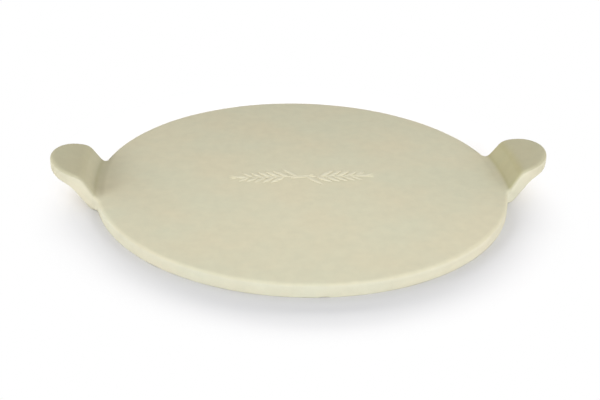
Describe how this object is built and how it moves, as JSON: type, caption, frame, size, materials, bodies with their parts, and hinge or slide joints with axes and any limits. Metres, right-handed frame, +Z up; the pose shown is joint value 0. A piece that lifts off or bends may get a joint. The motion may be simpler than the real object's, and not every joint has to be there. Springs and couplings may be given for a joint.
{
  "type": "pizza stone",
  "caption": "Round flat ceramic pizza stone with an upturned lifting handle moulded on each side and a softly rounded rim.",
  "frame": {"origin": "centre of the underside, on the surface that the stone lies on", "axes": "+Z up through the disc, +X along the line through both handles"},
  "size_m": [0.399, 0.33, 0.0337],
  "materials": {
    "fired_clay": "matte"
  },
  "bodies": {
    "root": {"baking_stone": "fired_clay"}
  },
  "joints": []
}
